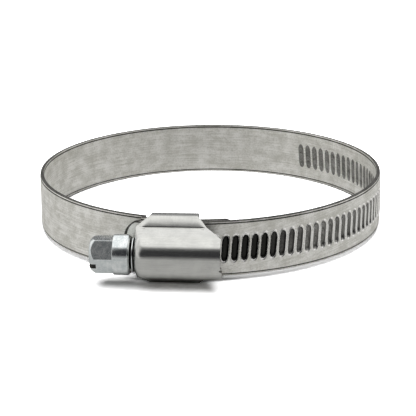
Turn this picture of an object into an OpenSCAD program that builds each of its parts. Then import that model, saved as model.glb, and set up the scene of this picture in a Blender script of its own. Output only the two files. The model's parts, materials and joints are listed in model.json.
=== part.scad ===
// Worm-drive hose clamp, fully open.
//
// The origin is the centre of the clamped bore, at the middle of the band's width. +Z runs along
// the hose, the housing sits on the -Y side a little towards -X, and the screw runs along X with
// its head at -X.
//
// The band is one spring-steel strip that lies in a spiral of two arcs that touch. Its root end
// is held in the housing, it goes round the left, the back and the right of the ring about the
// origin, and its threaded end swings out on a wider arc and comes back through the housing on
// top of the root. A strip that bends is held here as rigid sections: the root, the threaded
// end, and a chain of links hinged on their inner face.

/* [Band] */
// Inside diameter of the ring when it is fully open
bore_d = 76; // [72:1:80]
// Width of the band
band_w = 12; // [11.6:0.1:12]
// Thickness of the band
band_t = 0.9; // [0.7:0.05:0.9]
// Length of the band's free tail outside the housing
tail_out = 2.5; // [0.5:0.1:2.5]
// Corner radius of the band's two ends
end_corner_r = 2.6; // [1:0.1:4]

/* [Thread] */
// Distance between two grooves, which is also the lead of the worm
pitch = 2.1; // [1.9:0.1:2.2]
// Length of a pressed groove across the band
groove_l = 5.2; // [4.6:0.1:6]
// Width of a pressed groove along the band
groove_w = 1.3; // [1.2:0.05:1.4]
// Depth of a pressed groove
groove_depth = 0.5; // [0.45:0.05:0.6]

/* [Housing] */
// How far the housing's middle lies beside the ring's centre
housing_shift = 3; // [2.6:0.1:3.2]
// Length of the housing along the screw
housing_l = 17.8; // [17:0.1:19]
// Thickness of the housing's sheet
sheet_t = 0.75; // [0.6:0.05:0.8]
// Outside radius of the arched cover over the worm
cover_r = 4.95; // [4.95:0.05:5.3]

/* [Screw] */
// Size of the hexagon head across its flats
hex_af = 7; // [6:0.5:8]
// Length of the hexagon
hex_l = 4.9; // [4:0.1:6]
// Width of the driver slot
slot_w = 1.2; // [0.8:0.1:1.4]
// Depth of the driver slot
slot_depth = 1.5; // [1:0.1:2]
// Diameter of the collar behind the hexagon
collar_d = 8.4; // [8:0.1:9]
// Length of the collar
collar_l = 3.5; // [3:0.1:4]

/* [Hidden] */
$fn = 96;
over = 0.5;                    // how far a cut runs past the face that it cuts
fit_play = 0.55;               // side play between the band and the housing
layer_gap = 0.3;               // play between the band's two layers under the worm
link_gap = 0.05;               // gap between two neighbouring links
corner_lead = 0.15;            // how far the round of an end corner leads the end's own edge

// Layers at the front, from the bore outwards: housing lips, root strip, threaded strip. The
// threaded strip's arc is concentric with the housing's channel, and its centre is the pole.
bore_r = bore_d / 2;
root_lift = 0.8;                                    // the root strip lies on the lips
layers = root_lift + band_t + layer_gap;
pole_x = -housing_shift;
pole_y = (pole_x * pole_x - layers * layers) / (2 * layers);
pole = [pole_x, pole_y];
thread_r = bore_r + layers + pole_y;                // inner face of the threaded strip
touch_a = atan2(-pole_y, -pole_x);                  // where the two arcs touch
root_r = thread_r - layer_gap - band_t;             // inner face of the root strip
thread_out_r = thread_r + band_t;                   // outer face of the threaded strip
front_y = pole_y - thread_out_r;                    // outer face at the front of the ring

// Screw: worm crest, flanks and core, and the depth to which the crest enters the grooves.
worm_r = 4.1;
core_r = 3.1;
crest_w = 0.55;
flank_slope = 0.3;
mesh_depth = 0.35;
screw_y = front_y + mesh_depth - worm_r;
mesh_r = thread_out_r - mesh_depth / 2;             // radius at which one turn feeds one pitch
neck_r = 2.3;
neck_play = 0.08;
neck_out = 0.85;                                    // free neck between collar and housing
worm_x0 = -housing_l / 2 + 1.5;
worm_x1 = housing_l / 2 - 0.9;
hex_normal = -5.3;                                  // turn of the head at rest
slot_turn = 114.7;
groove_step = pitch / mesh_r * 180 / PI;            // angle between two grooves about the pole
round_step = pitch / (mesh_r - thread_r + bore_r) * 180 / PI;   // and about the origin
groove_phase = 0.43;                                // groove 0 lies this share of a pitch past
                                                    // the housing's middle
touch_groove = (touch_a + 90) / groove_step - groove_phase;     // grooves up to touch_a
groove_lean = atan(pitch / (2 * PI * (worm_r - mesh_depth / 2)));
groove_first = -4;
groove_last = 46;

// Housing: channel for the band, shoulders, and trapezoid wings that fold under the root strip.
end_x = housing_l / 2;
wall_z = band_w / 2 + fit_play + sheet_t;
channel_z = band_w / 2 + fit_play;
shoulder_y = front_y - 0.2;
crease_y = shoulder_y - 1.6;
crease_z = cover_r + 0.55;
wing_x0 = -5.8;
wing_x1 = 3.8;
lip_y = -bore_r - 0.6;                              // where the left bevel of a wing starts
left_cut_y = shoulder_y - 0.8;                      // how far up the head end that bevel runs
right_cut_a = 64;                                   // where the right bevel meets the arch
right_cut_y = screw_y - cover_r * cos(right_cut_a);
lip_split = 0.3;                                    // gap between the two folded wings
lip_back = 0.05;                                    // the folded wings lie just outside the bore
link_stop = 1.5;                                    // the last link ends this far inside
tongue_out = 2.1;                                   // root strip past the housing's right end

// Band sections, as angles round the pole up to touch_a and round the origin past it,
// counter-clockwise from +X.
angle_of = function (x, r) -90 + asin(x / r);       // x from the housing's middle
angle_at = function (k) k < touch_groove ? -90 + (k + groove_phase) * groove_step
                                         : touch_a + (k - touch_groove) * round_step;
tail_a = angle_of(-end_x - tail_out, thread_r);
root_a0 = angle_of(wing_x0, root_r);
root_a1 = angle_of(end_x + tongue_out, root_r);
steps_per_link = 8;
grooved_links = 3;
link_count = 12;
rigid_grooves = 22;                                 // last groove on the rigid threaded section
thread_a = angle_at(rigid_grooves + 0.5);           // end of the rigid threaded section
plain_a = angle_at(rigid_grooves + 0.5 + grooved_links * steps_per_link);
link_end_a = 180 + acos((end_x - link_stop + housing_shift) / bore_r);
junctions = [for (i = [0:link_count])
    i <= grooved_links ? angle_at(rigid_grooves + 0.5 + i * steps_per_link)
                       : plain_a + (i - grooved_links) * (link_end_a - plain_a)
                                   / (link_count - grooved_links)];

band_colour = [0.72, 0.71, 0.68];
housing_colour = [0.80, 0.80, 0.78];
screw_colour = [0.74, 0.77, 0.78];

// A pie slice from angle a0 to a1, long enough to cut any part of the band.
module wedge(a0, a1) {
    reach = 2 * bore_d;
    mid = (a0 + a1) / 2;
    linear_extrude(band_w + 2 * over, center = true)
        polygon([[0, 0], reach * [cos(a0), sin(a0)], reach * [cos(mid), sin(mid)],
                 reach * [cos(a1), sin(a1)]]);
}

// A stretch of strip with inner radius r about a centre.
module strip(centre, r, a0, a1) {
    translate([centre.x, centre.y, 0])
        intersection() {
            difference() {
                cylinder(h = band_w, r = r + band_t, center = true, $fn = 256);
                cylinder(h = band_w + 2 * over, r = r, center = true, $fn = 256);
            }
            wedge(a0, a1);
        }
}

// What is cut away to round the two corners of a strip that ends at x from the housing's
// middle; dir is the way it points.
module end_corners(x, dir) {
    for (side = [-1, 1])
        translate([pole_x + x + dir * corner_lead, 0, side * band_w / 2])
            scale([dir, 1, side])
                difference() {
                    translate([-end_corner_r, -thread_out_r - bore_r, -end_corner_r])
                        cube([end_corner_r + 2, thread_out_r + bore_r, end_corner_r + 2]);
                    translate([-end_corner_r, 0, -end_corner_r])
                        rotate([90, 0, 0])
                            cylinder(h = thread_out_r + bore_r + over, r = end_corner_r, $fn = 48);
                }
}

// Groove k, as a slot with bevelled ends pressed into the outer face.
module groove(k) {
    centre = k < touch_groove ? pole : [0, 0];
    out_r = k < touch_groove ? thread_out_r : bore_r + band_t;
    half_l = groove_l / 2;
    half_w = groove_w / 2;
    bevel = 0.6 * half_w;
    translate([centre.x, centre.y, 0])
        rotate([0, 0, angle_at(k)])
            translate([out_r - groove_depth, 0, 0])
                rotate([-groove_lean, 0, 0])
                    rotate([0, 90, 0])
                        linear_extrude(groove_depth + over)
                            polygon([[half_l, half_w - bevel], [half_l - bevel, half_w],
                                     [bevel - half_l, half_w], [-half_l, half_w - bevel],
                                     [-half_l, bevel - half_w], [bevel - half_l, -half_w],
                                     [half_l - bevel, -half_w], [half_l, bevel - half_w]]);
}

module grooves(first, last) {
    for (k = [first:last])
        groove(k);
}

// The housing's form from x0 to x1, inset by the given thickness. An arch over the worm runs into
// straight sides, which flare at a crease into the shoulders and wings.
module housing_form(x0, x1, inset) {
    edge_z = wall_z - inset;
    side = [[screw_y - 1, cover_r - 0.12 - inset], [crease_y + inset / 3, crease_z - inset],
            [shoulder_y + inset / 3, edge_z], [-bore_r + 2, edge_z]];
    translate([x0, screw_y, 0])
        rotate([0, 90, 0])
            cylinder(h = x1 - x0, r = cover_r - inset);
    translate([x0, 0, 0])
        rotate([90, 0, 90])
            linear_extrude(x1 - x0)
                polygon([each side, for (i = [3:-1:0]) [side[i][0], -side[i][1]]]);
}

module housing() {
    color(housing_colour)
        translate([pole_x, 0, 0]) difference() {
            housing_form(-end_x, end_x, 0);
            // hollow of the cover, closed at the head end and open at the tip
            difference() {
                housing_form(-end_x + sheet_t, end_x + over, sheet_t);
                translate([0, pole_y, 0])
                    cylinder(h = 4 * wall_z, r = root_r, center = true, $fn = 256);
            }
            // neck of the screw
            translate([-end_x - over, screw_y, 0])
                rotate([0, 90, 0])
                    cylinder(h = sheet_t + 2 * over, r = neck_r + neck_play, $fn = 96);
            // channel for the root strip and the threaded strip
            translate([0, pole_y, 0])
                difference() {
                    cylinder(h = 2 * channel_z, r = thread_out_r + layer_gap, center = true,
                             $fn = 256);
                    cylinder(h = 2 * channel_z + over, r = root_r, center = true, $fn = 256);
                }
            // clamped bore, and the gap between the two folded wings
            translate([-pole_x, 0, 0])
                cylinder(h = 4 * wall_z, r = bore_r + lip_back, center = true, $fn = 256);
            translate([-housing_l, pole_y - root_r - layer_gap, -lip_split / 2])
                cube([2 * housing_l, bore_r, lip_split]);
            // bevels that run from the wings over the flare, steeper at the open end
            translate([0, 0, -2 * wall_z])
                linear_extrude(4 * wall_z) {
                    polygon([[-housing_l, left_cut_y], [-end_x, left_cut_y], [wing_x0, lip_y],
                             [wing_x0, 0], [-housing_l, 0]]);
                    polygon([[housing_l, right_cut_y], [end_x, right_cut_y],
                             [wing_x1, shoulder_y], [wing_x1, 0], [housing_l, 0]]);
                }
        }
}

// The worm: a core with a right-hand helical ridge that rises from it and runs out into it again.
// Along the helix run four lines of points: the foot, crest, crest and foot of the ridge. Strips
// of triangles join each line to the next, and the last foot to the first foot one turn later.
module worm() {
    per_turn = 24;
    taper = 0.4 * per_turn;
    end_land = 0.9;
    first = ceil((worm_x0 + end_land) / pitch * per_turn);
    last = floor((worm_x1 - end_land) / pitch * per_turn);
    n = last - first;
    foot = crest_w / 2 + flank_slope * (worm_r - core_r);
    at = function (i, x, r) [x, r * cos(360 * i / per_turn), r * sin(360 * i / per_turn)];
    top = function (i) core_r + (worm_r - core_r) * min(1, i / taper, (n - i) / taper);
    line = function (dx, height) [for (i = [0:n])
        at(first + i, pitch * (first + i) / per_turn + dx, height(i))];
    low = function (i) core_r;
    disc = function (x, from) [for (m = [0:per_turn - 1]) at(from + m, x, core_r)];
    points = concat(line(-foot, low), line(-crest_w / 2, top), line(crest_w / 2, top),
                    line(foot, low), disc(worm_x0, first), disc(worm_x1, last),
                    [[worm_x0, 0, 0], [worm_x1, 0, 0]]);
    a = function (i) i;
    b = function (i) n + 1 + i;
    c = function (i) 2 * (n + 1) + i;
    d = function (i) 3 * (n + 1) + i;
    left = function (m) 4 * (n + 1) + m % per_turn;
    right = function (m) 4 * (n + 1) + per_turn + m % per_turn;
    middle = 4 * (n + 1) + 2 * per_turn;
    strip_of = function (u, v, i0, i1) [for (i = [i0:i1 - 1])
        each [[v(i + 1), u(i + 1), u(i)], [v(i), v(i + 1), u(i)]]];
    fan = function (ids) [for (k = [1:len(ids) - 2]) [ids[k + 1], ids[k], ids[0]]];
    end_foot = function (m) d(n - per_turn + m);
    next_foot = function (i) a(i + per_turn);
    polyhedron(convexity = 8, points = points, faces = concat(
        strip_of(a, b, 0, n), strip_of(b, c, 0, n), strip_of(c, d, 0, n),
        strip_of(d, next_foot, 0, n - per_turn),
        // left end, where the ridge starts
        strip_of(left, a, 0, per_turn - 1),
        fan([left(per_turn - 1), left(0), a(0), b(0), c(0), d(0), a(per_turn), a(per_turn - 1)]),
        [for (m = [0:per_turn - 1]) [middle, left(m), left(m + 1)]],
        // right end, where the ridge stops
        strip_of(end_foot, right, 1, per_turn),
        fan([right(1), right(0), d(n), c(n), b(n), a(n), end_foot(0), end_foot(1)]),
        [for (m = [0:per_turn - 1]) [middle + 1, right(m + 1), right(m)]]));
}

// A round piece of the screw from x0 to x1.
module round_bar(x0, x1, r) {
    translate([x0, 0, 0])
        rotate([0, 90, 0])
            cylinder(h = x1 - x0, r = r, $fn = 96);
}

module screw() {
    collar_x1 = -end_x - neck_out;
    collar_x0 = collar_x1 - collar_l;
    head_x0 = collar_x0 - hex_l;
    corner_r = hex_af / 2 / cos(30);
    bevel = 0.9;
    collar_bevel = 0.45;
    color(screw_colour)
        translate([pole_x, screw_y, 0]) {
            difference() {
                // hexagon with a turned bevel on its corners
                intersection() {
                    translate([head_x0, 0, 0])
                        rotate([hex_normal, 0, 0])
                            rotate([0, 90, 0])
                                cylinder(h = hex_l + 0.1, r = corner_r, $fn = 6);
                    translate([head_x0, 0, 0])
                        rotate([0, 90, 0])
                            rotate_extrude($fn = 96)
                                polygon([[0, 0], [corner_r - bevel, 0],
                                         [corner_r + over, bevel + over],
                                         [corner_r + over, hex_l + over], [0, hex_l + over]]);
                }
                // driver slot across two flats
                translate([head_x0 - over, 0, 0])
                    rotate([slot_turn, 0, 0])
                        translate([0, -slot_w / 2, -hex_af])
                            cube([slot_depth + over, slot_w, 2 * hex_af]);
            }
            // collar with a bevelled back
            translate([collar_x0, 0, 0])
                rotate([0, 90, 0])
                    rotate_extrude($fn = 96)
                        polygon([[0, 0], [collar_d / 2, 0],
                                 [collar_d / 2, collar_l - collar_bevel],
                                 [collar_d / 2 - collar_bevel, collar_l], [0, collar_l]]);
            round_bar(collar_x1 - 0.1, worm_x0 + 0.1, neck_r);
            rotate([-360 * groove_phase, 0, 0])
                worm();
        }
}

module band_root() {
    color(band_colour)
        difference() {
            strip(pole, root_r, root_a0, root_a1);
            end_corners(end_x + tongue_out, 1);
        }
}

module band_thread() {
    color(band_colour)
        difference() {
            strip(pole, thread_r, tail_a, thread_a - half_gap(thread_r));
            end_corners(-end_x - tail_out, -1);
            grooves(groove_first, rigid_grooves);
        }
}

function half_gap(r) = link_gap / 2 / r * 180 / PI;

// Link i lies between two junctions. The strip changes from one arc to the other at touch_a.
module band_link(i) {
    a0 = junctions[i - 1] + half_gap(bore_r);
    a1 = junctions[i] - half_gap(bore_r);
    groove_from = rigid_grooves + 1 + (i - 1) * steps_per_link;
    groove_to = min(groove_from + steps_per_link - 1, groove_last);
    color(band_colour)
        difference() {
            union() {
                if (a0 < touch_a)
                    strip(pole, thread_r, a0, min(a1, touch_a));
                if (a1 > touch_a)
                    strip([0, 0], bore_r, max(a0, touch_a), a1);
            }
            if (groove_from <= groove_last)
                grooves(groove_from, groove_to);
        }
}

housing();
screw();
band_root();
band_thread();
band_link(1);  // band_link_01
band_link(2);  // band_link_02
band_link(3);  // band_link_03
band_link(4);  // band_link_04
band_link(5);  // band_link_05
band_link(6);  // band_link_06
band_link(7);  // band_link_07
band_link(8);  // band_link_08
band_link(9);  // band_link_09
band_link(10);  // band_link_10
band_link(11);  // band_link_11
band_link(12);  // band_link_12
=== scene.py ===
import json
import math

import bmesh
import bpy
from mathutils import Matrix, Vector


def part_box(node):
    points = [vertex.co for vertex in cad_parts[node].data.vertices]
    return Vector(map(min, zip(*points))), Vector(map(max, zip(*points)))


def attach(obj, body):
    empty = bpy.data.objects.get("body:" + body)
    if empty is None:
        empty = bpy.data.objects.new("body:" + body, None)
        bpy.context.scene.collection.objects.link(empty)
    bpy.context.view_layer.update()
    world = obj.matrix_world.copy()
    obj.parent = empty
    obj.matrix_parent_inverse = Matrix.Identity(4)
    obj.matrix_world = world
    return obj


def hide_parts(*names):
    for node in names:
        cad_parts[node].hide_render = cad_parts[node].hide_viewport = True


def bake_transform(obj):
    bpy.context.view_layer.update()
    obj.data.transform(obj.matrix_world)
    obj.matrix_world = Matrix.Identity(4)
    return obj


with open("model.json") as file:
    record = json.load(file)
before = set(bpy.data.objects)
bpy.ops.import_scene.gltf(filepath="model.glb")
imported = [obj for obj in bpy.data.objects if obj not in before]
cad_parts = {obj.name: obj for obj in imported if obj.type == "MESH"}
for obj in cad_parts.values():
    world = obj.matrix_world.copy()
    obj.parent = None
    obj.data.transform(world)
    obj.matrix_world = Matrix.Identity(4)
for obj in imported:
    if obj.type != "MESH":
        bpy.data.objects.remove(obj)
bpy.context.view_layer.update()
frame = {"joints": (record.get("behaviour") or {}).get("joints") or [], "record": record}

# Lengths are in millimetres and angles in degrees until a mesh is made, which is in metres.
MM = 0.001

# ---------------------------------------------------------------- sizes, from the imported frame

joints = {joint["name"]: joint for joint in frame["joints"]}
mounts = {mount["name"]: mount for mount in frame["record"]["mounts"]}


def corners_mm(node):
    """A node's lowest and highest corners, in millimetres."""
    low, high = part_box(node)
    return low / MM, high / MM


housing_lo, housing_hi = corners_mm("housing")
band_lo, band_hi = corners_mm("band_link_08")
_, root_hi = corners_mm("band_root")
thread_lo, _ = corners_mm("band_thread")

bore_r = mounts["hose_bore"]["dims"]["r_mm"]
pole_x, pole_y, _ = (value / MM for value in joints["band_feed"]["pos_m"])
mid_x, screw_y, _ = (value / MM for value in joints["screw_turn"]["pos_m"])
half_l = (housing_hi.x - housing_lo.x) / 2
wall_z = housing_hi.z
band_w = band_hi.z - band_lo.z
band_t = 0.9            # this and the gap between the band's two layers are as in part.scad
layer_gap = 0.3
thread_r = bore_r + math.hypot(pole_x, pole_y)
thread_out_r = thread_r + band_t
root_r = thread_r - layer_gap - band_t
touch_a = math.degrees(math.atan2(-pole_y, -pole_x))
front_y = pole_y - thread_out_r     # the front of the band, under the worm

# The grooves in the band, and the worm that drives them.
pitch = 2.1
groove_phase = 0.43     # groove 0 lies this share of a pitch past the housing's middle
groove_lean = 4.6
groove_first = -4
groove_last = 49        # three more than in part.scad, as the photo's inner face shows
mesh_depth = 0.35       # how deep the worm reaches into a groove
worm_r = 4.1
core_r = 3.1

# Places along the band are counted in steps of one pitch; each whole number is a groove.
mesh_r = thread_out_r - mesh_depth / 2
pole_step_a = math.degrees(pitch / mesh_r)
round_step_a = math.degrees(pitch / (mesh_r - thread_r + bore_r))
touch_step = (touch_a + 90) / pole_step_a - groove_phase


def angle_at(step):
    """Angle of a place, about the pole up to where the band's two arcs touch, then the origin."""
    if step < touch_step:
        return -90 + (step + groove_phase) * pole_step_a
    return touch_a + (step - touch_step) * round_step_a


def step_at(x, y):
    """The place along the band of a point on its inner face."""
    about_pole = math.degrees(math.atan2(y - pole_y, x - pole_x))
    if y < 0 and x > pole_x and about_pole < touch_a:
        return (about_pole + 90) / pole_step_a - groove_phase
    about_origin = (math.degrees(math.atan2(y, x)) + 90) % 360 - 90
    return touch_step + (about_origin - touch_a) / round_step_a


bend_names = sorted(name for name in joints if name.startswith("bend_"))
junctions = [step_at(*(value / MM for value in joints[name]["pos_m"][:2])) for name in bend_names]
link_names = [joints[name]["child"] for name in bend_names]
tail_step = math.degrees(math.asin((thread_lo.x - pole_x) / thread_r)) / pole_step_a - groove_phase
plain_end_x = corners_mm(link_names[-1])[1].x
plain_end_step = step_at(plain_end_x, -math.sqrt(bore_r ** 2 - plain_end_x ** 2))


# ---------------------------------------------------------------- small helpers

def smooth(low, high, value):
    """0 below low, 1 above high, and a smooth rise between."""
    t = min(1.0, max(0.0, (value - low) / (high - low)))
    return t * t * (3 - 2 * t)


def lerp(a, b, t):
    """The value at share t of the way from a to b."""
    return a + (b - a) * t


def finish_mesh(bm, name, materials, sharp=32.0):
    """Makes an object from a mesh in millimetres, smooth except over sharp edges."""
    bmesh.ops.scale(bm, vec=(MM, MM, MM), verts=bm.verts)
    bmesh.ops.recalc_face_normals(bm, faces=bm.faces)
    mesh = bpy.data.meshes.new(name)
    bm.to_mesh(mesh)
    bm.free()
    for material in materials:
        mesh.materials.append(material)
    mesh.polygons.foreach_set("use_smooth", [True] * len(mesh.polygons))
    mesh.set_sharp_from_angle(angle=math.radians(sharp))
    piece = bpy.data.objects.new(name, mesh)
    bpy.context.scene.collection.objects.link(piece)
    return piece


def apply_modifiers(piece):
    """Puts what the piece's modifiers make in place of its mesh."""
    graph = bpy.context.evaluated_depsgraph_get()
    mesh = bpy.data.meshes.new_from_object(piece.evaluated_get(graph))
    piece.modifiers.clear()
    piece.data = mesh


def arc(cy, cz, r, a0, a1, steps):
    """Points on a circle in the (y, z) plane; the angle runs from +y towards +z."""
    angles = [math.radians(lerp(a0, a1, i / steps)) for i in range(steps + 1)]
    return [(cy + r * math.cos(a), cz + r * math.sin(a)) for a in angles]


def filleted(points, radii, steps=5):
    """A polyline with each inner corner replaced by a curve that starts radius away from it."""
    out = [points[0]]
    for before, corner, after, r in zip(points, points[1:], points[2:], radii):
        p, q, s = Vector(before), Vector(corner), Vector(after)
        start = q + (p - q).normalized() * min(r, (p - q).length / 2)
        end = q + (s - q).normalized() * min(r, (s - q).length / 2)
        for i in range(steps + 1):
            t = i / steps
            point = start * (1 - t) ** 2 + q * 2 * t * (1 - t) + end * t ** 2
            out.append(tuple(point))
    out.append(points[-1])
    return out


# ---------------------------------------------------------------- materials

def new_material(name):
    """A metallic material, with its node tree and its shader."""
    material = bpy.data.materials.new(name)
    material.use_nodes = True
    tree = material.node_tree
    shader = tree.nodes["Principled BSDF"]
    shader.inputs["Metallic"].default_value = 1.0
    return material, tree, shader


def noise(tree, vector, scale, detail=4.0, stretch=(1, 1, 1), rough=0.55):
    """Noise over a vector that is first stretched; returns its value socket."""
    mapping = tree.nodes.new("ShaderNodeMapping")
    mapping.inputs["Scale"].default_value = stretch
    tree.links.new(vector, mapping.inputs["Vector"])
    node = tree.nodes.new("ShaderNodeTexNoise")
    node.inputs["Scale"].default_value = scale
    node.inputs["Detail"].default_value = detail
    node.inputs["Roughness"].default_value = rough
    tree.links.new(mapping.outputs["Vector"], node.inputs["Vector"])
    return node.outputs["Fac"]


def remap(tree, value, low, high, to_low, to_high):
    """Maps the range from low to high onto the range from to_low to to_high."""
    node = tree.nodes.new("ShaderNodeMapRange")
    node.inputs["From Min"].default_value = low
    node.inputs["From Max"].default_value = high
    node.inputs["To Min"].default_value = to_low
    node.inputs["To Max"].default_value = to_high
    tree.links.new(value, node.inputs["Value"])
    return node.outputs["Result"]


def mix_colour(tree, factor, a, b):
    """Colour a where the factor is 0, and b where it is 1. Each is a colour or a socket."""
    node = tree.nodes.new("ShaderNodeMix")
    node.data_type = "RGBA"
    tree.links.new(factor, node.inputs["Factor"])
    for socket, colour in ((node.inputs["A"], a), (node.inputs["B"], b)):
        if isinstance(colour, tuple):
            socket.default_value = (*colour, 1)
        else:
            tree.links.new(colour, socket)
    return node.outputs["Result"]


def calculate(tree, operation, a, b):
    """The sum (ADD) or product (MULTIPLY) of two sockets."""
    node = tree.nodes.new("ShaderNodeMath")
    node.operation = operation
    tree.links.new(a, node.inputs[0])
    tree.links.new(b, node.inputs[1])
    return node.outputs["Value"]


def bump(tree, shader, height, distance):
    """Roughens the surface by a height map; the distance is in metres."""
    node = tree.nodes.new("ShaderNodeBump")
    node.inputs["Strength"].default_value = 0.6
    node.inputs["Distance"].default_value = distance
    tree.links.new(height, node.inputs["Height"])
    tree.links.new(node.outputs["Normal"], shader.inputs["Normal"])


# Distances in mm round the ring from its front, over which the grooves' near-black painted shade
# fades out.
front_shade_to = 15.0
front_shade_gone = 26.0


def metal(name, dark, light, rough, lines, grain, depth, front_shade=None):
    """A metal with blotches, a grain and drawn lines, on texture coordinates in millimetres.

    Rough is its least and greatest roughness, lines the stretch of the lines' noise, grain the
    scale of the fine noise, depth the height of the bumps in metres, and the last one the
    near-black of a painted shade on the places near the housing.
    """
    material, tree, shader = new_material(name)
    coords = tree.nodes.new("ShaderNodeTexCoord").outputs["UV"]
    blotches = noise(tree, coords, 0.35, 3.0)
    fine = noise(tree, coords, grain, 5.0, rough=0.7)
    drawn = noise(tree, coords, 1.0, 3.0, lines, rough=0.6)
    relief = calculate(tree, "ADD", fine, drawn)
    mottle = calculate(tree, "ADD", calculate(tree, "ADD", blotches, drawn), fine)
    colour = mix_colour(tree, remap(tree, mottle, 1.3, 1.72, 0.0, 1.0), dark, light)
    # painted shade: the grooves near the housing go near-black, fading out round the ring
    if front_shade:
        split = tree.nodes.new("ShaderNodeSeparateXYZ")
        tree.links.new(coords, split.inputs["Vector"])
        unshaded = remap(tree, split.outputs["X"], front_shade_to, front_shade_gone, 0.0, 1.0)
        colour = mix_colour(tree, unshaded, front_shade, colour)
    tree.links.new(colour, shader.inputs["Base Color"])
    tree.links.new(remap(tree, relief, 0.7, 1.3, *rough), shader.inputs["Roughness"])
    bump(tree, shader, relief, depth)
    return material


band_steel = metal("band_steel", (0.66, 0.65, 0.60), (0.97, 0.96, 0.93), rough=(0.38, 0.56),
                   lines=(0.12, 4.0, 1.0), grain=2.4, depth=0.00002)
# smooth steel for the grooves' raised rims: its lower roughness is the rim's own, its lighter
# colour a painted highlight
rim_highlight_steel = metal("rim_highlight_steel", (0.90, 0.89, 0.86), (0.96, 0.95, 0.93), rough=(0.20, 0.32),
                  lines=(0.5, 2.0, 1.0), grain=3.0, depth=0.00001)
# dark steel for the slots' floors and the inner bulges: painted shade in the pressed grooves
groove_shade_steel = metal("groove_shade_steel", (0.15, 0.148, 0.14), (0.34, 0.335, 0.32), rough=(0.24, 0.38),
                     lines=(0.5, 2.0, 1.0), grain=3.0, depth=0.00002, front_shade=(0.025, 0.025, 0.023))
# near-black steel: painted shade on the band's edges and cut ends, inside the housing, and in the
# screw's slot and neck
painted_shade_steel = metal("painted_shade_steel", (0.045, 0.044, 0.04), (0.13, 0.126, 0.118), rough=(0.45, 0.6),
                   lines=(0.3, 3.0, 1.0), grain=3.0, depth=0.00002)
housing_steel = metal("housing_steel", (0.50, 0.50, 0.485), (0.60, 0.60, 0.58), rough=(0.13, 0.22),
                      lines=(0.18, 5.0, 1.0), grain=4.0, depth=0.000006)
zinc = metal("zinc_plate", (0.56, 0.60, 0.61), (0.78, 0.80, 0.80), rough=(0.09, 0.20),
             lines=(1.0, 0.4, 1.0), grain=2.6, depth=0.000012)


# ---------------------------------------------------------------- band

edge_step = 0.05        # how far the margin at each edge lies below the face
step_w = 0.28           # width of the slope down to that margin
margin_z = band_w / 2 - 0.62
outer_edge_r = 0.26
inner_edge_r = 0.08
flat_rows = 5
zone_z = 3.2            # half height of the strip of cells that hold the grooves
zone_rows = 10
cell_columns = 6
plain_step = 0.6        # spacing of the columns where there are no grooves
tongue_corner_r = 2.6
tail_corner_r = 4.2
corner_fade = 6.0       # a rounded end bends the columns over this distance
tail_shade_w = 0.6              # width of the painted shadow line round the tail's cut end
groove_half_w = 0.68
groove_half_l = 1.6     # to where the pointed end starts
tip_stretch = 1.75      # the grooves' ends are more pointed than half circles


def half_face(r):
    """Half of one face's outline, from the groove zone's edge to the strip's edge: (drop, z)."""
    rows = [(0, lerp(zone_z, margin_z, k / flat_rows)) for k in range(flat_rows + 1)]
    rows += [(edge_step, margin_z + step_w), (edge_step, band_w / 2 - r)]
    for degrees in (30, 60, 90):
        a = math.radians(degrees)
        rows.append((edge_step + r * (1 - math.cos(a)), band_w / 2 - r + r * math.sin(a)))
    return rows


def band_section():
    """The closed outline as (depth from the inner face, z): rolled outside, sheared inside."""
    outside = half_face(outer_edge_r)
    inside = half_face(inner_edge_r)
    across = [zone_z * (1 - 2 * k / zone_rows) for k in range(1, zone_rows)]
    outer = [(band_t - drop, z) for drop, z in reversed(outside)]
    outer += [(band_t, z) for z in across]
    outer += [(band_t - drop, -z) for drop, z in outside]
    inner = [(drop, -z) for drop, z in reversed(inside)]
    inner += [(0.0, -z) for z in across]
    inner += [(drop, z) for drop, z in inside]
    return outer + inner


section = band_section()
face_rows = len(section) // 2
edge_rows = len(half_face(outer_edge_r))


def find_dark_rows():
    """Rows of faces painted near-black as shade: the sheared edges, and the slope beside each
    margin.
    """
    rows = set()
    for first in (0, face_rows):
        last = first + face_rows - 1
        rows |= {first, first + 1, last - 2, last - 1, last}
        rows |= {first + edge_rows - 2 - flat_rows, last + 1 - edge_rows + flat_rows}
    return rows


dark_rows = find_dark_rows()


def groove_shear(step):
    """How much of the grooves' lean a column at this place takes: none near a plain end."""
    rise = smooth(groove_first - 1.3, groove_first - 0.5, step)
    return rise * (1 - smooth(groove_last + 0.5, groove_last + 2.5, step))


def ring_point(centre_x, centre_y, r, angle, z):
    """The point at this radius and angle about an upright axis."""
    a = math.radians(angle)
    return Vector((centre_x + r * math.cos(a), centre_y + r * math.sin(a), z))


def spiral(step, depth, z):
    """A point of the clamp's spiral, at a depth above the band's inner face."""
    step += groove_shear(step) * z * math.tan(math.radians(groove_lean)) / pitch
    angle = angle_at(step)
    if step < touch_step:
        return ring_point(pole_x, pole_y, thread_r + depth, angle, z)
    return ring_point(0, 0, bore_r + depth, angle, z)


def corner_cut(z, r):
    """How far a corner rounded with radius r moves the strip's end back at this height."""
    over = abs(z) - (band_w / 2 - r)
    if over <= 0:
        return 0.0
    return r - math.sqrt(max(0.0, r ** 2 - over ** 2))


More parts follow.
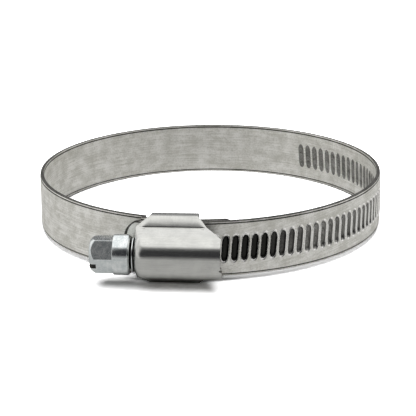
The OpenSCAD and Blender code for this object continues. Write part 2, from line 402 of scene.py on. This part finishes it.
def slot_outline(half_w):
    """Points (along, z) of a slot of this half width: its top, right, bottom and left.

    There is a point for each one on a cell's edge. The corner between the top and the right
    side is where the pointed end has turned by 38 degrees from the side.
    """
    corner_a = math.radians(38)
    tip = tip_stretch * half_w
    top = []
    for k in range(cell_columns):
        a = lerp(math.pi - corner_a, corner_a, k / cell_columns)
        top.append((half_w * math.cos(a), groove_half_l + tip * math.sin(a)))
    bend = corner_a * half_w
    side_len = 2 * bend + 2 * groove_half_l
    right = []
    for k in range(zone_rows):
        run = side_len * k / zone_rows
        if run < bend:
            a = corner_a - run / half_w
            right.append((half_w * math.cos(a), groove_half_l + tip * math.sin(a)))
        elif run <= side_len - bend:
            right.append((half_w, groove_half_l - (run - bend)))
        else:
            a = -(run - (side_len - bend)) / half_w
            right.append((half_w * math.cos(a), -groove_half_l + tip * math.sin(a)))
    half = top + right
    return half + [(-along, -z) for along, z in half]


def press_cell(bm, border, groove, levels, ring_materials):
    """Fills a cell's border with a pressed slot. Levels are rings (slot half width, depth)."""
    previous = border
    for (half_w, depth), material in zip(levels, ring_materials):
        ring = [bm.verts.new(spiral(groove + along / pitch, depth, z))
                for along, z in slot_outline(half_w)]
        count = len(ring)
        for k in range(count):
            after = (k + 1) % count
            face = bm.faces.new((previous[k], previous[after], ring[after], ring[k]))
            face.material_index = material
        previous = ring
    top = previous[:cell_columns + 1]
    bottom = previous[cell_columns + zone_rows:2 * cell_columns + zone_rows + 1]
    right = previous[cell_columns:cell_columns + zone_rows + 1]
    left = [previous[0]] + previous[:-zone_rows - 1:-1]
    # the slot's floor takes the painted shade
    for cap in (top, bottom):
        bm.faces.new(cap).material_index = 1
    for k in range(zone_rows):
        bm.faces.new((left[k], right[k], right[k + 1], left[k + 1])).material_index = 1


# The rings of a pressed slot, from its foot to its floor: (slot half width, height above the
# inner face). Outside, a raised rim surrounds a deep slot; inside, there is a low bulge.
outer_levels = [(groove_half_w + 0.30, band_t), (groove_half_w + 0.17, band_t + 0.17),
                (groove_half_w + 0.00, band_t + 0.02), (groove_half_w - 0.06, band_t - 0.14),
                (groove_half_w - 0.13, band_t - 0.33), (groove_half_w - 0.26, band_t - 0.46),
                (groove_half_w - 0.45, band_t - 0.49)]
inner_levels = [(groove_half_w + 0.08, 0.0), (groove_half_w - 0.02, -0.03),
                (groove_half_w - 0.15, -0.13), (groove_half_w - 0.30, -0.19),
                (groove_half_w - 0.50, -0.21)]

# The band's materials by index: plain steel, steel dark as painted shade in the grooves, steel
# near-black as painted shade on edges and ends, and steel lighter as a painted highlight on the
# rims; and the one outside each of those rings.
band_materials = (band_steel, groove_shade_steel, painted_shade_steel, rim_highlight_steel)
# Outside, the rim takes the painted highlight and the slot the painted shade; inside, the whole
# bulge takes the painted shade.
outer_ring_materials = [0, 3, 3, 1, 1, 1, 1]
inner_ring_materials = [0, 1, 1, 1, 1]


def strip_columns(start, stop):
    """Places of the columns of a strip, and the grooves that lie between them."""
    columns = []
    cells = []
    step = start
    while step < stop - 1e-6:
        groove = round(step + 0.5)
        at_groove = abs(groove - 0.5 - step) < 1e-4 and groove_first <= groove <= groove_last
        if at_groove and groove + 0.5 <= stop + 1e-4:
            cells.append((len(columns), groove))
            columns += [groove - 0.5 + i / cell_columns for i in range(cell_columns)]
            step = groove + 0.5
            continue
        limit = groove_first - 0.5 if step < groove_first - 0.5 - 1e-6 else stop
        limit = min(limit, stop)
        count = max(1, round((limit - step) * pitch / plain_step))
        columns += [step + (limit - step) * i / count for i in range(count)]
        step = limit
    columns.append(stop)
    return columns, cells


def in_cell(cells, column, row):
    """True where a face of the plain grid would cover a groove's cell."""
    across = edge_rows - 1 <= row % face_rows < edge_rows + zone_rows - 1
    return across and any(first <= column < first + cell_columns for first, _ in cells)


def cell_border(grid, first, near, far):
    """The vertices round a cell: along the near row, across, back along the far row, across."""
    end = first + cell_columns
    turn = 1 if far > near else -1
    border = [grid[c][near] for c in range(first, end)]
    border += [grid[end][r] for r in range(near, far, turn)]
    border += [grid[c][far] for c in range(end, first, -1)]
    border += [grid[first][r] for r in range(far, near, -turn)]
    return border


def make_strip(name, start, stop, point, low_corner=0.0, high_corner=0.0, grooved=True):
    """A stretch of band between two places. Point maps (step, depth, z) to its position.

    The corners are the radii of its rounded ends, and the low one has a painted shadow line round
    it.
    """
    bm = bmesh.new()
    uv = bm.loops.layers.uv.new("strip")
    columns, cells = strip_columns(start, stop)
    if not grooved:
        count = max(2, round((stop - start) * pitch / plain_step))
        columns, cells = [lerp(start, stop, i / count) for i in range(count + 1)], []
    if low_corner:
        columns.insert(1, columns[0] + tail_shade_w / pitch)
        cells = [(first + 1, groove) for first, groove in cells]
    corner_zone = min(corner_fade, 0.8 * (stop - start) * pitch)
    inside = set()
    for first, _ in cells:
        inside.update(range(first + 1, first + cell_columns))

    def placed(step, depth, z):
        """A point of the strip, with the columns bent to round its ends."""
        from_start = (step - start) * pitch
        from_stop = (stop - step) * pitch
        if low_corner and from_start < corner_zone:
            step += corner_cut(z, low_corner) * (1 - from_start / corner_zone) / pitch
        if high_corner and from_stop < corner_zone:
            step -= corner_cut(z, high_corner) * (1 - from_stop / corner_zone) / pitch
        return point(step, depth, z)

    zone = set(range(edge_rows, edge_rows + zone_rows - 1))
    zone |= {row + face_rows for row in zone}
    grid = []
    for i, step in enumerate(columns):
        grid.append([None if i in inside and row in zone
                     else bm.verts.new(placed(step, depth, z))
                     for row, (depth, z) in enumerate(section)])
    count = len(section)
    for i in range(len(columns) - 1):
        for row in range(count):
            quad = (grid[i][row], grid[i + 1][row],
                    grid[i + 1][(row + 1) % count], grid[i][(row + 1) % count])
            if None not in quad and not in_cell(cells, i, row):
                # the dark rows and the tail's first column take the near-black painted shade
                dark = row in dark_rows or (low_corner and i == 0)
                bm.faces.new(quad).material_index = 2 if dark else 0
    top, bottom = edge_rows - 1, edge_rows + zone_rows - 1
    for first, groove in cells:
        outside = cell_border(grid, first, top, bottom)
        press_cell(bm, outside, groove, outer_levels, outer_ring_materials)
        inner_side = cell_border(grid, first, face_rows + bottom, face_rows + top)
        press_cell(bm, inner_side, groove, inner_levels, inner_ring_materials)
    # both cut ends take the near-black painted shade
    bm.faces.new(grid[0]).material_index = 2
    bm.faces.new(grid[-1]).material_index = 2
    for face in bm.faces:
        for loop in face.loops:
            x, y, z = loop.vert.co
            around = math.radians((math.degrees(math.atan2(y, x)) + 90) % 360) * bore_r
            outward = math.hypot(x, y) - bore_r
            loop[uv].uv = (around, z + 3 * outward)
    return finish_mesh(bm, name, band_materials)


def snapped(step):
    """The nearest boundary between two grooves, where the strip is grooved."""
    if step > groove_last + 0.5:
        return step
    return round(step - 0.5) + 0.5


# The rigid threaded end, with its rounded tail.
first_seam = snapped(junctions[0] - 3)      # three grooves before the first joint
seams = [snapped(lerp(a, b, 0.5)) for a, b in zip(junctions, junctions[1:])]
last_seam = lerp(junctions[-1], plain_end_step, 0.5)
cuts = [first_seam] + seams + [last_seam]

tail = make_strip("threaded_end", tail_step, first_seam, spiral, low_corner=tail_corner_r)
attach(tail, "band_thread")
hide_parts("band_thread")

# One stretch over each joint, from the middle of one link to the middle of the next.
for i, junction in enumerate(junctions):
    reach = 0.8 * min(junction - cuts[i], cuts[i + 1] - junction)
    stretch = make_strip(f"band_stretch_{i + 1:02d}", cuts[i], cuts[i + 1], spiral)
    spiral(junction - reach, band_t / 2, 0) * MM
    spiral(junction + reach, band_t / 2, 0) * MM
    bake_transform(stretch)
    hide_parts(link_names[i])

plain_end = make_strip("plain_end", last_seam, plain_end_step, spiral, grooved=False)
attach(plain_end, link_names[-1])


def root_step(x):
    """Place on the root strip, counted like the threaded strip's, at this x."""
    return math.degrees(math.asin((x - pole_x) / root_r)) / pole_step_a


def root_point(step, depth, z):
    """The root under the worm: its hidden end joggles in to lap over the band's plain end."""
    place = ring_point(pole_x, pole_y, root_r + depth, -90 + step * pole_step_a, z)
    lap = 1 - smooth(root_step(plain_end_x - 0.4), root_step(plain_end_x + 1.6), step)
    reach = math.hypot(place.x, place.y)
    scale = lerp(1, (bore_r + band_t + depth + 0.04) / reach, lap)
    return Vector((place.x * scale, place.y * scale, z))


root = make_strip("root_tongue", root_step(mid_x - half_l + 0.5), root_step(root_hi.x),
                  root_point, high_corner=tongue_corner_r, grooved=False)
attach(root, "housing")
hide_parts("band_root")


# ---------------------------------------------------------------- housing

sheet_t = 0.75
cover_r = 4.95
shoulder_y = front_y - 0.2
crease_y = shoulder_y - 1.6
crease_z = cover_r + 0.55
lip_r = bore_r + 0.05
lip_gap = 0.15          # from the edge of each folded lip to the middle
fold_r = 0.95
shoulder_r = 0.25
bevel_y1 = -bore_r - 0.6    # the bevel at the head end reaches the wing's edge here
shoulder_x0 = -6.3      # where the bevel at the head end crosses the shoulder
wing_x0 = -5.8
wing_x1 = 3.8
right_cut_a = 64        # the bevel at the open end starts this far round the arch from its top
tongue_y = 1.25         # how far the end wall reaches towards the band past the crease
neck_hole_r = 2.38
slit_x0 = -8.0
slit_x1 = 5.6
slit_depth = 0.26       # depth of the groove that is pressed in along the crease
slit_fade = 1.2
head_round_r = 1.9
lip_stand = 0.28        # how far the lower half of the open end stands out
notch_depth = 0.6
dent_x = 6.4            # a small dent near the open end
dent_z = 4.3
dent_depth = 0.10


def housing_half():
    """Outer face from the lip's edge at z > 0 to the apex: rows (y, z, share of the slit)."""
    edge_y = -lip_r
    bends = filleted([(edge_y, lip_gap), (edge_y, wall_z), (shoulder_y, wall_z),
                      (crease_y + 0.12, crease_z + 0.1)], (fold_r, shoulder_r), 6)
    rows = [(y, z, 0.0) for y, z in bends]
    # more rows across the lip
    extra = [(edge_y, lerp(lip_gap, wall_z - 1.0, k / 6), 0.0) for k in range(1, 6)]
    rows = rows[:1] + extra + rows[1:]
    reach = math.hypot(crease_y - screw_y, crease_z)
    toward = math.degrees(math.atan2(crease_z, crease_y - screw_y))
    tangent_a = toward + math.degrees(math.acos(cover_r / reach))
    round_rows = arc(screw_y, 0, cover_r, tangent_a, 180, 26)
    crease = Vector((crease_y, crease_z))
    slope = (Vector(round_rows[0]) - crease).normalized()
    # rows past the crease: the slit, and then a much shallower line
    for along, share in ((-0.02, 0.2), (0.04, 1.0), (0.11, 1.0), (0.17, 0.2), (0.5, 0.0),
                         (0.62, 0.35), (0.72, 0.0), (1.2, 0.0), (1.9, 0.0)):
        point = crease + slope * along
        rows.append((point.x, point.y, share))
    for y, z in round_rows:
        rows.append((y, z, 0.0))
    return rows


def housing_rows():
    """The whole outer face, from one lip's edge over the arch to the other's."""
    half = housing_half()
    return half + [(y, -z, share) for y, z, share in reversed(half[:-1])]


def run_length(rows):
    """Distance along the outline at each row."""
    out = [0.0]
    for a, b in zip(rows, rows[1:]):
        out.append(out[-1] + math.hypot(b[0] - a[0], b[1] - a[1]))
    return out


def left_limit(y):
    """The head end, bevelled from the crease to the wing's edge."""
    if y <= crease_y:
        return -half_l
    if y <= shoulder_y:
        return lerp(-half_l, shoulder_x0, (y - crease_y) / (shoulder_y - crease_y))
    return lerp(shoulder_x0, wing_x0, min(1.0, (y - shoulder_y) / (bevel_y1 - shoulder_y)))


def right_limit(from_lip, to_arch, to_shoulder):
    """The open end, bevelled from the arch to the shoulder, by the distance from the lip."""
    if from_lip >= to_arch:
        return half_l
    return lerp(wing_x1, half_l, max(0.0, (from_lip - to_shoulder) / (to_arch - to_shoulder)))


def lip_out(y, z):
    """The lower half of the open end stands out a little, beside a small notch."""
    if y > screw_y:
        return 0.0
    below = math.degrees(math.atan2(-z, screw_y - y))
    stand = smooth(11, 15, below) * (1 - smooth(60, 68, below))
    notch = smooth(14, 18, below) * (1 - smooth(20, 24, below))
    return lip_stand * stand - notch_depth * notch


def row_normals(rows):
    """Outward normals of the outline, as (y, z)."""
    out = []
    for i in range(len(rows)):
        before, after = rows[max(0, i - 1)], rows[min(len(rows) - 1, i + 1)]
        along = Vector((after[0] - before[0], after[1] - before[1])).normalized()
        out.append(Vector((along.y, -along.x)))
    return out


def make_housing():
    """The folded sheet's outer face, with its rounded head end and the end wall round the neck."""
    bm = bmesh.new()
    uv = bm.loops.layers.uv.new("sheet")
    rows = housing_rows()
    run = run_length(rows)
    normals = row_normals(rows)
    arch_y = screw_y - cover_r * math.cos(math.radians(right_cut_a))
    to_arch = next(run[i] for i, (y, _, _) in enumerate(rows) if y < arch_y)
    to_shoulder = next(run[i] for i, (y, _, _) in enumerate(rows) if y < shoulder_y + 0.2)
    columns = 40
    wall_rows = [i for i, (y, _, _) in enumerate(rows) if y <= crease_y]
    top, low = wall_rows[0], wall_rows[-1]

    def round_r(i):
        """Radius of the rounded head end at this row."""
        edge = min(run[i] - run[top], run[low] - run[i])
        return head_round_r * smooth(0.0, 4.0, edge)

    def place(i, x):
        """A point of the outer face in this row; the lips' rows follow the bore."""
        y, z, slit = rows[i]
        if abs(y + lip_r) < 1e-6:
            y = -math.sqrt(lip_r ** 2 - (x + mid_x) ** 2)
        ends = smooth(slit_x0, slit_x0 + slit_fade, x)
        ends *= 1 - smooth(slit_x1 - slit_fade, slit_x1, x)
        inward = -normals[i] * slit_depth * slit * ends
        y, z = y + inward.x, z + inward.y
        if y < screw_y:
            y += dent_depth * math.exp(-((x - dent_x) / 1.5) ** 2 - ((z - dent_z) / 0.55) ** 2)
        return Vector((x, y, z))

    grid = []
    for i, (y, z, _) in enumerate(rows):
        from_lip = min(run[i], run[-1] - run[i])
        x0 = left_limit(y) + (round_r(i) if top <= i <= low else 0.0)
        x1 = right_limit(from_lip, to_arch, to_shoulder) + lip_out(y, z)
        grid.append([bm.verts.new(place(i, lerp(x0, x1, j / columns)))
                     for j in range(columns + 1)])
    for i in range(len(rows) - 1):
        for j in range(columns):
            bm.faces.new((grid[i][j], grid[i][j + 1], grid[i + 1][j + 1], grid[i + 1][j]))

    # the rounded head end, by rings of vertices that turn inwards
    previous = {i: grid[i][0] for i in range(top, low + 1)}
    turn_steps = 7
    for k in range(1, turn_steps + 1):
        a = math.radians(90 * k / turn_steps)
        ring = {}
        for i in range(top, low + 1):
            r = round_r(i)
            if r < 1e-4:
                ring[i] = previous[i]
                continue
            y, z, _ = rows[i]
            inset = r * (1 - math.cos(a))
            ring[i] = bm.verts.new((-half_l + r * (1 - math.sin(a)),
                                    y - normals[i].x * inset, z - normals[i].y * inset))
        for i in range(top, low):
            corners = []
            for vert in (previous[i], previous[i + 1], ring[i + 1], ring[i]):
                if vert not in corners:
                    corners.append(vert)
            if len(corners) > 2:
                bm.faces.new(corners)
        previous = ring

    # the end wall, whose edge reaches towards the band, in to the neck's hole
    outline = [previous[i] for i in range(top, low + 1)]
    tongue_steps = 20
    start, stop = outline[-1].co, outline[0].co
    for k in range(1, tongue_steps):
        share = k / tongue_steps
        corner = start.lerp(stop, share)
        corner.y += tongue_y * smooth(0.0, 0.15, share) * (1 - smooth(0.85, 1.0, share))
        outline.append(bm.verts.new(corner))
    count = len(outline)
    offsets = [Vector((vert.co.y - screw_y, vert.co.z)) for vert in outline]
    for share in (0.35, 0.7, 1.0):
        ring = []
        for offset in offsets:
            flat = offset.lerp(offset.normalized() * neck_hole_r, share)
            ring.append(bm.verts.new((-half_l, screw_y + flat.x, flat.y)))
        for k in range(count):
            after = (k + 1) % count
            bm.faces.new((outline[k], outline[after], ring[after], ring[k]))
        outline = ring
    for face in bm.faces:
        for loop in face.loops:
            x, y, z = loop.vert.co
            around = math.atan2(z, -(y - screw_y)) * cover_r
            loop[uv].uv = (x, around)
    bmesh.ops.translate(bm, vec=(mid_x, 0, 0), verts=bm.verts)
    return finish_mesh(bm, "housing_shell", (housing_steel, painted_shade_steel))


housing = make_housing()
thicken = housing.modifiers.new("sheet", "SOLIDIFY")
thicken.thickness = sheet_t * MM
thicken.offset = -1
# the inside and the cut edges take the second material, near-black as painted shade
thicken.material_offset = 1
thicken.material_offset_rim = 1
apply_modifiers(housing)
housing.data.set_sharp_from_angle(angle=math.radians(35))
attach(housing, "housing")
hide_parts("housing")


# ---------------------------------------------------------------- screw

hex_af = 7.0
hex_l = 4.9
hex_bevel = 0.9         # how much smaller than its corners the hexagon's outer end is turned
hex_round_r = 0.35
hex_turn = -2.8         # the photo's turn of the hexagon's flats and of the slot about the axis
slot_turn = 117.2
slot_w = 1.2
slot_depth = 1.5
collar_r = 4.2
collar_l = 3.5
neck_r = 2.3
neck_out = 0.85         # from the collar to the housing
axis_r = 0.02           # turned pieces close on a tiny face at the axis
collar_x1 = mid_x - half_l - neck_out
collar_x0 = collar_x1 - collar_l
head_x0 = collar_x0 - hex_l
worm_x0 = mid_x - half_l + 1.5
worm_x1 = mid_x + half_l - 0.9


def lathe(bm, profile, segments, radius=None):
    """Turns (x, r) points about the screw's axis; radius(x, r, angle) may change r."""
    rings = []
    for x, r in profile:
        ring = []
        for k in range(segments):
            a = 2 * math.pi * k / segments
            out = radius(x, r, a) if radius else r
            ring.append(bm.verts.new((x, screw_y + out * math.cos(a), out * math.sin(a))))
        rings.append(ring)
    for one, two in zip(rings, rings[1:]):
        for k in range(segments):
            bm.faces.new((one[k], one[(k + 1) % segments], two[(k + 1) % segments], two[k]))
    for ring in (rings[0], rings[-1]):
        bm.faces.new(ring)


def hex_head():
    """A hexagon with its outer end turned to a cone and rounded, and a driver slot across it."""
    corner_r = hex_af / 2 / math.cos(math.radians(30))
    start_r = corner_r - hex_bevel
    cone_l = 1.3 * hex_bevel

    def hexagon_r(a):
        """The hexagon's radius at this angle."""
        off = (math.degrees(a) - hex_turn) % 60 - 30
        return hex_af / 2 / math.cos(math.radians(off))

    def turned_r(x):
        """The radius that the cone at the outer end leaves."""
        return start_r + hex_bevel * min(1.0, (x - head_x0) / cone_l)

    def radius(x, r, a):
        """The head's radius: the smaller of the hexagon's and the cone's, with a rounded edge."""
        if r < start_r - hex_round_r:
            return r
        inset = 0.0
        if x < head_x0 + hex_round_r:
            rise = 1 - (x - head_x0) / hex_round_r
            inset = hex_round_r * (1 - math.sqrt(max(0.0, 1 - rise ** 2)))
        return min(turned_r(x), hexagon_r(a)) - inset

    bm = bmesh.new()
    steps = 40
    stop_x = collar_x0 + 0.1
    profile = [(head_x0, axis_r), (head_x0, start_r - hex_round_r - 0.05)]
    profile += [(lerp(head_x0, stop_x, (k / steps) ** 1.5), corner_r) for k in range(steps + 1)]
    profile += [(stop_x, axis_r)]
    lathe(bm, profile, 240, radius)
    head = finish_mesh(bm, "screw_head", (zinc,))
    cutter = bmesh.new()
    bmesh.ops.create_cube(cutter, size=1.0)
    bmesh.ops.scale(cutter, vec=(2 * slot_depth, slot_w, 3 * hex_af), verts=cutter.verts)
    turn = Matrix.Rotation(math.radians(slot_turn), 4, "X")
    place = Matrix.Translation((head_x0, screw_y, 0))
    bmesh.ops.transform(cutter, matrix=place @ turn, verts=cutter.verts)
    slot_cutter = finish_mesh(cutter, "slot_cutter", (zinc,))
    cut = head.modifiers.new("slot", "BOOLEAN")
    cut.operation = "DIFFERENCE"
    cut.object = slot_cutter
    cut.solver = "EXACT"
    apply_modifiers(head)
    bpy.data.objects.remove(slot_cutter)
    return head


def collar_and_neck():
    """The collar, chamfered towards the housing, and the neck with its thin flange."""
    bm = bmesh.new()
    chamfer = 0.42
    flange_x = collar_x1 + 0.42
    flange_r = 3.6
    flange_t = 0.2
    neck_x1 = worm_x0 + 0.2
    # (x, radius, rounding), from the hexagon to the worm
    corners = [
        (collar_x0, axis_r, 0), (collar_x0, collar_r, 0.12),
        (collar_x1 - chamfer, collar_r, 0.15), (collar_x1 - 0.02, collar_r - chamfer, 0.10),
        (collar_x1, 2.9, 0.1), (flange_x - 0.04, 2.4, 0.02), (flange_x, flange_r, 0.05),
        (flange_x + flange_t, flange_r, 0.05), (flange_x + flange_t + 0.04, neck_r, 0.02),
        (neck_x1, neck_r, 0.05), (neck_x1, axis_r, 0)]
    radii = [rounding for _, _, rounding in corners[1:-1]]
    lathe(bm, filleted([(x, r) for x, r, _ in corners], radii, 4), 128)
    return finish_mesh(bm, "collar", (zinc,))


def worm_body():
    """The worm: a right-hand thread that meets the band's grooves and fades out at both ends."""
    bm = bmesh.new()
    crest, flank = 0.28, 0.30       # half the crest's width, and the width of each flank
    start, stop = worm_x0 + 0.6, worm_x1 - 0.6

    def radius(x, r, a):
        """The core's radius, or up to the crest's where the ridge passes."""
        if r < core_r:
            return r
        turns = (x - mid_x) / pitch - groove_phase - a / (2 * math.pi)
        from_ridge = (turns + 0.5) % 1.0 - 0.5
        rise = 1 - smooth(crest, crest + flank, abs(from_ridge) * pitch)
        ends = smooth(start - 0.4, start + 0.6, x) * (1 - smooth(stop - 0.6, stop + 0.4, x))
        return core_r + (worm_r - core_r) * rise * ends

    steps = int((worm_x1 - worm_x0) / 0.09)
    profile = [(worm_x0, axis_r)]
    profile += [(lerp(worm_x0, worm_x1, k / steps), core_r) for k in range(steps + 1)]
    profile += [(worm_x1, axis_r)]
    lathe(bm, profile, 72, radius)
    return finish_mesh(bm, "worm", (zinc,))


def join(pieces, name):
    """One object out of several, in plated zinc."""
    bm = bmesh.new()
    for piece in pieces:
        bm.from_mesh(piece.data)
    mesh = bpy.data.meshes.new(name)
    bm.to_mesh(mesh)
    bm.free()
    mesh.materials.append(zinc)
    joined = bpy.data.objects.new(name, mesh)
    bpy.context.scene.collection.objects.link(joined)
    for piece in pieces:
        bpy.data.objects.remove(piece)
    return joined


def unwrap_round(piece):
    """Texture coordinates in millimetres: along the axis and round it, or flat on the ends."""
    mesh = piece.data
    uv = mesh.uv_layers.get("turned") or mesh.uv_layers.new(name="turned")
    for face in mesh.polygons:
        _, centre_y, centre_z = face.center / MM
        around = math.atan2(centre_z, centre_y - screw_y)
        facing = math.atan2(face.normal.z, face.normal.y)
        for index in face.loop_indices:
            x, y, z = mesh.vertices[mesh.loops[index].vertex_index].co / MM
            if abs(face.normal.x) > 0.9:
                uv.data[index].uv = (y, z)
                continue
            offset = (z - centre_z) * math.cos(facing) - (y - centre_y) * math.sin(facing)
            uv.data[index].uv = (x, around * collar_r + offset)


def paint_recess_shade(piece):
    """Paints shade, in near-black, on the driver slot's faces and on all behind the collar but its
    rim.
    """
    turn = math.radians(slot_turn)
    for face in piece.data.polygons:
        x, y, z = face.center / MM
        behind_collar = x > collar_x1 + 0.02 and math.hypot(y - screw_y, z) < 3.3
        across = (y - screw_y) * math.cos(turn) + z * math.sin(turn)
        in_depth = head_x0 + 0.08 < x < head_x0 + slot_depth + 0.03
        if behind_collar or (in_depth and abs(across) < slot_w / 2 + 0.03):
            face.material_index = 1


screw = join([hex_head(), collar_and_neck(), worm_body()], "worm_screw")
# the second material, near-black, is painted shade in the slot and round the neck
screw.data.materials.append(painted_shade_steel)
paint_recess_shade(screw)
screw.data.set_sharp_from_angle(angle=math.radians(25))
unwrap_round(screw)
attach(screw, "screw")
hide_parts("screw")


# ---------------------------------------------------------------- stage, light and camera

# What rays from the camera see, and what light meets.
seen_floor = (2.2, 2.2, 2.2)
lit_floor = (0.60, 0.60, 0.59)
seen_world = (1.0, 1.0, 1.0)

# The studio's walls, as the metal sees them.
wall_grey = (0.92, 0.92, 0.91)
right_grey = (0.74, 0.74, 0.735)
low_front_grey = (0.40, 0.40, 0.395)
front_dark = (0.05, 0.05, 0.053)
far_back_grey = (0.22, 0.22, 0.225)
behind_white = (1.3, 1.3, 1.29)
overhead_white = (1.35, 1.35, 1.33)
dim_room = (0.05, 0.05, 0.05)


def make_floor():
    """A plain pale floor under the housing's lower edge and the back of the band.

    The camera sees it as overexposed white paper, and the metal sees it as pale grey.
    """
    lip_behind = 9      # the housing stands on its lips, this far behind its front
    front = Vector((0, housing_lo.y + lip_behind, housing_lo.z)) * MM
    back = Vector((0, bore_r + band_t, -band_w / 2)) * MM
    slope = math.atan2(back.z - front.z, back.y - front.y)
    half_size_m = 4.0
    bm = bmesh.new()
    bmesh.ops.create_grid(bm, x_segments=1, y_segments=1, size=half_size_m)
    turn = Matrix.Rotation(slope, 4, "X")
    bmesh.ops.transform(bm, matrix=Matrix.Translation(front) @ turn, verts=bm.verts)
    mesh = bpy.data.meshes.new("floor")
    bm.to_mesh(mesh)
    bm.free()
    floor = bpy.data.objects.new("floor", mesh)
    bpy.context.scene.collection.objects.link(floor)
    material = bpy.data.materials.new("floor_paper")
    material.use_nodes = True
    tree = material.node_tree
    shader = tree.nodes["Principled BSDF"]
    shader.inputs["Roughness"].default_value = 1.0
    shader.inputs["Specular IOR Level"].default_value = 0.0
    path = tree.nodes.new("ShaderNodeLightPath")
    colour = mix_colour(tree, path.outputs["Is Camera Ray"], lit_floor, seen_floor)
    tree.links.new(colour, shader.inputs["Base Color"])
    mesh.materials.append(material)


make_floor()


def eased(tree, value, low, high):
    """0 below low, 1 above high, and a smooth rise between."""
    node = tree.nodes.new("ShaderNodeMapRange")
    node.interpolation_type = "SMOOTHSTEP"
    node.inputs["From Min"].default_value = low
    node.inputs["From Max"].default_value = high
    tree.links.new(value, node.inputs["Value"])
    return node.outputs["Result"]


def make_world():
    """A soft studio: white overhead and behind the clamp, pale at the sides, dark in front.

    The zones are laid one over the other, by the direction of a ray.
    """
    world = bpy.data.worlds.new("studio")
    bpy.context.scene.world = world
    world.use_nodes = True
    tree = world.node_tree
    coords = tree.nodes.new("ShaderNodeTexCoord").outputs["Generated"]
    split = tree.nodes.new("ShaderNodeSeparateXYZ")
    tree.links.new(coords, split.inputs["Vector"])
    x, y, z = split.outputs
    to_camera = tree.nodes.new("ShaderNodeVectorMath")
    to_camera.operation = "DOT_PRODUCT"
    to_camera.inputs[1].default_value = (0.25, -0.97, 0.0)
    tree.links.new(coords, to_camera.inputs[0])
    front = to_camera.outputs["Value"]

    in_front = calculate(tree, "MULTIPLY", eased(tree, front, 0.2, 0.77),
                         eased(tree, z, 0.03, 0.25))
    behind = calculate(tree, "MULTIPLY", eased(tree, y, 0.0, 0.5), eased(tree, z, 0.26, 0.5))
    zones = ((eased(tree, front, 0.5, 0.95), low_front_grey), (in_front, front_dark),
             (eased(tree, y, 0.6, 0.9), far_back_grey), (behind, behind_white),
             (eased(tree, z, 0.77, 0.90), overhead_white))
    sky = mix_colour(tree, eased(tree, x, 0.2, 0.9), wall_grey, right_grey)
    for share, colour in zones:
        sky = mix_colour(tree, share, sky, colour)

    path = tree.nodes.new("ShaderNodeLightPath")
    # after a matt bounce a ray meets a dim room, so that the lamp's shadow on the floor is dark
    lit = mix_colour(tree, path.outputs["Diffuse Depth"], sky, dim_room)
    seen = mix_colour(tree, path.outputs["Is Camera Ray"], lit, seen_world)
    tree.links.new(seen, tree.nodes["Background"].inputs["Color"])


make_world()


def make_lamp():
    """A soft lamp above and in front, which leaves no glint on the metal."""
    data = bpy.data.lights.new("lamp", "SUN")
    data.energy = 3.2
    data.angle = math.radians(58)
    lamp = bpy.data.objects.new("lamp", data)
    lamp.rotation_euler = (math.radians(23), 0, 0)
    lamp.visible_glossy = False
    bpy.context.scene.collection.objects.link(lamp)


make_lamp()


def make_camera():
    """The photograph's camera, fitted to the outline of the ring, the housing and the head."""
    azimuth, elevation, roll = (math.radians(a) for a in (-4.75, 17.6, -0.43))
    distance, right_shift, up_shift = 371.333, -0.56, -3.682
    forward = Vector((math.sin(azimuth) * math.cos(elevation),
                      math.cos(azimuth) * math.cos(elevation), -math.sin(elevation)))
    right = Vector((math.cos(azimuth), -math.sin(azimuth), 0))
    up = right.cross(forward)
    place = -forward * distance + right * right_shift + up * up_shift
    side = right * math.cos(roll) + up * math.sin(roll)
    top = -right * math.sin(roll) + up * math.cos(roll)
    data = bpy.data.cameras.new("camera")
    data.sensor_width = 36.0
    data.lens = 139.145
    data.clip_start, data.clip_end = 0.01, 20.0
    camera = bpy.data.objects.new("camera", data)
    camera.matrix_world = Matrix((
        (side.x, top.x, -forward.x, place.x * MM),
        (side.y, top.y, -forward.y, place.y * MM),
        (side.z, top.z, -forward.z, place.z * MM),
        (0, 0, 0, 1)))
    bpy.context.scene.collection.objects.link(camera)
    bpy.context.scene.camera = camera


make_camera()
bpy.context.scene.view_settings.view_transform = "Standard"
